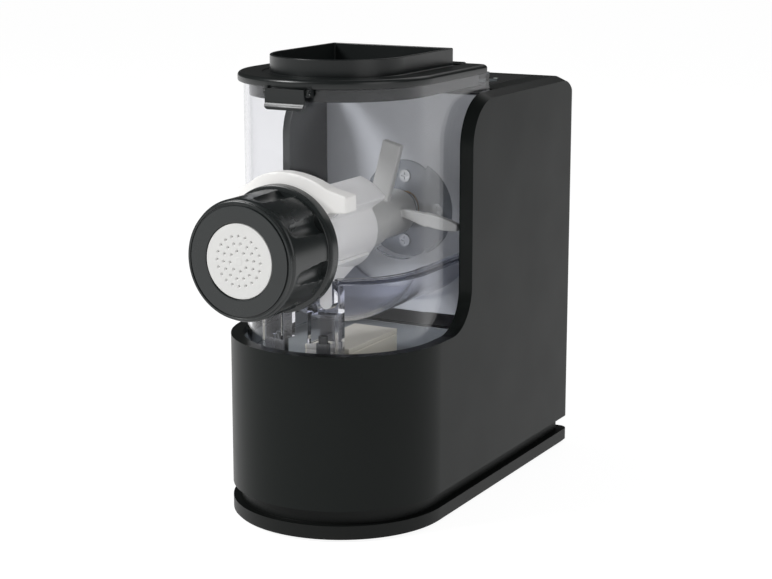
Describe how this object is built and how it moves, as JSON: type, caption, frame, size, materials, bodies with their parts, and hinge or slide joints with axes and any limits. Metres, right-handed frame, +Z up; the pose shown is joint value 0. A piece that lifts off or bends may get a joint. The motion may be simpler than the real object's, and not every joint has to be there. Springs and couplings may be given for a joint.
{
  "type": "electric pasta maker",
  "caption": "Countertop electric pasta maker: clear mixing bowl with paddle between the cheeks of a dark housing, a screw press with die and cap nut in front, a hinged lid on top.",
  "frame": {"origin": "under the middle of the overall footprint, on the surface the machine stands on", "axes": "+Z up, -Y towards the front with the cap nut, +X towards the right-hand cheek of the machine for a user who faces its front"},
  "size_m": [0.135, 0.3102, 0.2795],
  "materials": {
    "foot_black": "fine satin texture",
    "rubber_dark": "matte",
    "steel_zinc": "bright zinc plating",
    "steel_bright": "polished stainless steel",
    "steel_ground": "ground and polished",
    "housing_black": "semi-gloss ABS",
    "seat_grey": "satin",
    "peg_black": "satin",
    "cover_black": "satin",
    "panel_black": "gloss",
    "lens_clear": "frosted light guide",
    "board_green": "solder mask",
    "capacitor_grey": "moulded can",
    "cast_alu": "die cast, as cast",
    "sintered_bronze": "oil-filled sintered bronze",
    "core_steel": "stacked laminations",
    "copper_wire": "enamelled copper wire",
    "switch_black": "moulded",
    "bowl_clear": "clear, slightly smoked, polished",
    "plate_steel": "satin stainless steel",
    "seal_grey": "satin",
    "tray_cream": "satin",
    "die_white": "satin acetal",
    "tube_white": "gloss ABS",
    "paddle_white": "gloss ABS",
    "gear_nylon": "moulded nylon",
    "fan_grey": "moulded",
    "gasket_clear": "silicone",
    "nut_black": "semi-gloss ABS",
    "lid_black": "semi-gloss ABS",
    "clip_black": "semi-gloss ABS",
    "button_grey": "satin"
  },
  "bodies": {
    "base": {"base_plate": "foot_black", "rubber_feet": "rubber_dark", "base_screws": "steel_zinc", "housing": "housing_black", "bowl_seat": "seat_grey", "locating_pegs": "peg_black", "rear_cover": "cover_black", "rear_screws": "steel_zinc", "cord_gland": "rubber_dark", "control_panel": "panel_black", "indicator_lenses": "lens_clear", "control_board": "board_green", "power_board": "board_green", "run_capacitor": "capacitor_grey", "gearbox_case": "cast_alu", "gearbox_cover": "cast_alu", "gearbox_screws": "steel_zinc", "output_bushes": "sintered_bronze", "idler_axle": "steel_ground", "motor_front_bell": "cast_alu", "motor_rear_bell": "cast_alu", "motor_stator": "core_steel", "motor_windings": "copper_wire", "motor_bolts": "steel_zinc", "motor_bushes": "sintered_bronze", "bowl_switch": "switch_black", "bowl": "bowl_clear", "bearing_plate": "plate_steel", "plate_screws": "steel_bright", "shaft_seal": "seal_grey", "tray_base": "tray_cream", "tray_cover": "tray_cream", "cleaning_tool": "tube_white", "hinge_pins": "steel_ground", "tube_socket": "tube_white", "press_tube": "tube_white"},
    "drive": {"output_shaft": "steel_ground", "output_gear": "gear_nylon", "paddle": "paddle_white", "press_screw": "paddle_white", "shaft_clip": "steel_zinc"},
    "idler": {"idler_gear": "gear_nylon"},
    "rotor": {"motor_rotor": "core_steel", "motor_shaft": "steel_ground", "motor_pinion": "sintered_bronze", "cooling_fan": "fan_grey"},
    "die_set": {"die": "die_white", "die_gasket": "gasket_clear"},
    "nut": {"cap_nut": "nut_black"},
    "lid": {"lid": "lid_black", "clip_pin": "steel_ground"},
    "clip": {"lid_clip": "clip_black"},
    "power_key": {"power_button": "button_grey"},
    "start_key": {"start_button": "button_grey"},
    "less_key": {"less_button": "button_grey"},
    "more_key": {"more_button": "button_grey"}
  },
  "joints": [
    {"name": "drive_spin", "type": "hinge", "parent": "base", "child": "drive", "pos_m": [0, 0.0491, 0.1747], "axis": [0, -1, 0], "continuous": true},
    {"name": "idler_spin", "type": "hinge", "parent": "base", "child": "idler", "pos_m": [-0.02, 0.0671, 0.12213], "axis": [0, -1, 0], "continuous": true},
    {"name": "rotor_spin", "type": "hinge", "parent": "base", "child": "rotor", "pos_m": [0, 0.1091, 0.0904], "axis": [0, -1, 0], "continuous": true},
    {"name": "nut_travel", "type": "slide", "parent": "base", "child": "die_set", "axis": [0, -1, 0], "range_m": [0, 0.012]},
    {"name": "nut_turn", "type": "hinge", "parent": "die_set", "child": "nut", "pos_m": [0, -0.1319, 0.1747], "axis": [0, -1, 0], "range_deg": [0, 360]},
    {"name": "lid_tilt", "type": "hinge", "parent": "base", "child": "lid", "pos_m": [0, 0.0391, 0.2667], "axis": [-1, 0, 0], "range_deg": [0, 95]},
    {"name": "clip_flip", "type": "hinge", "parent": "lid", "child": "clip", "pos_m": [0, -0.1017, 0.2622], "axis": [-1, 0, 0], "range_deg": [0, 35]},
    {"name": "power_press", "type": "slide", "parent": "base", "child": "power_key", "axis": [0, 0, -1], "range_m": [0, 0.0008], "stiffness_N_per_m": 500, "springref_m": -0.0008},
    {"name": "start_press", "type": "slide", "parent": "base", "child": "start_key", "axis": [0, 0, -1], "range_m": [0, 0.0008], "stiffness_N_per_m": 500, "springref_m": -0.0008},
    {"name": "less_press", "type": "slide", "parent": "base", "child": "less_key", "axis": [0, 0, -1], "range_m": [0, 0.0008], "stiffness_N_per_m": 500, "springref_m": -0.0008},
    {"name": "more_press", "type": "slide", "parent": "base", "child": "more_key", "axis": [0, 0, -1], "range_m": [0, 0.0008], "stiffness_N_per_m": 500, "springref_m": -0.0008}
  ],
  "couplings": [
    {"joint": "idler_spin", "follows": "drive_spin", "ratio": -4},
    {"joint": "rotor_spin", "follows": "drive_spin", "ratio": 16},
    {"joint": "nut_travel", "follows": "nut_turn", "m_per_rad": 0.0019099}
  ]
}
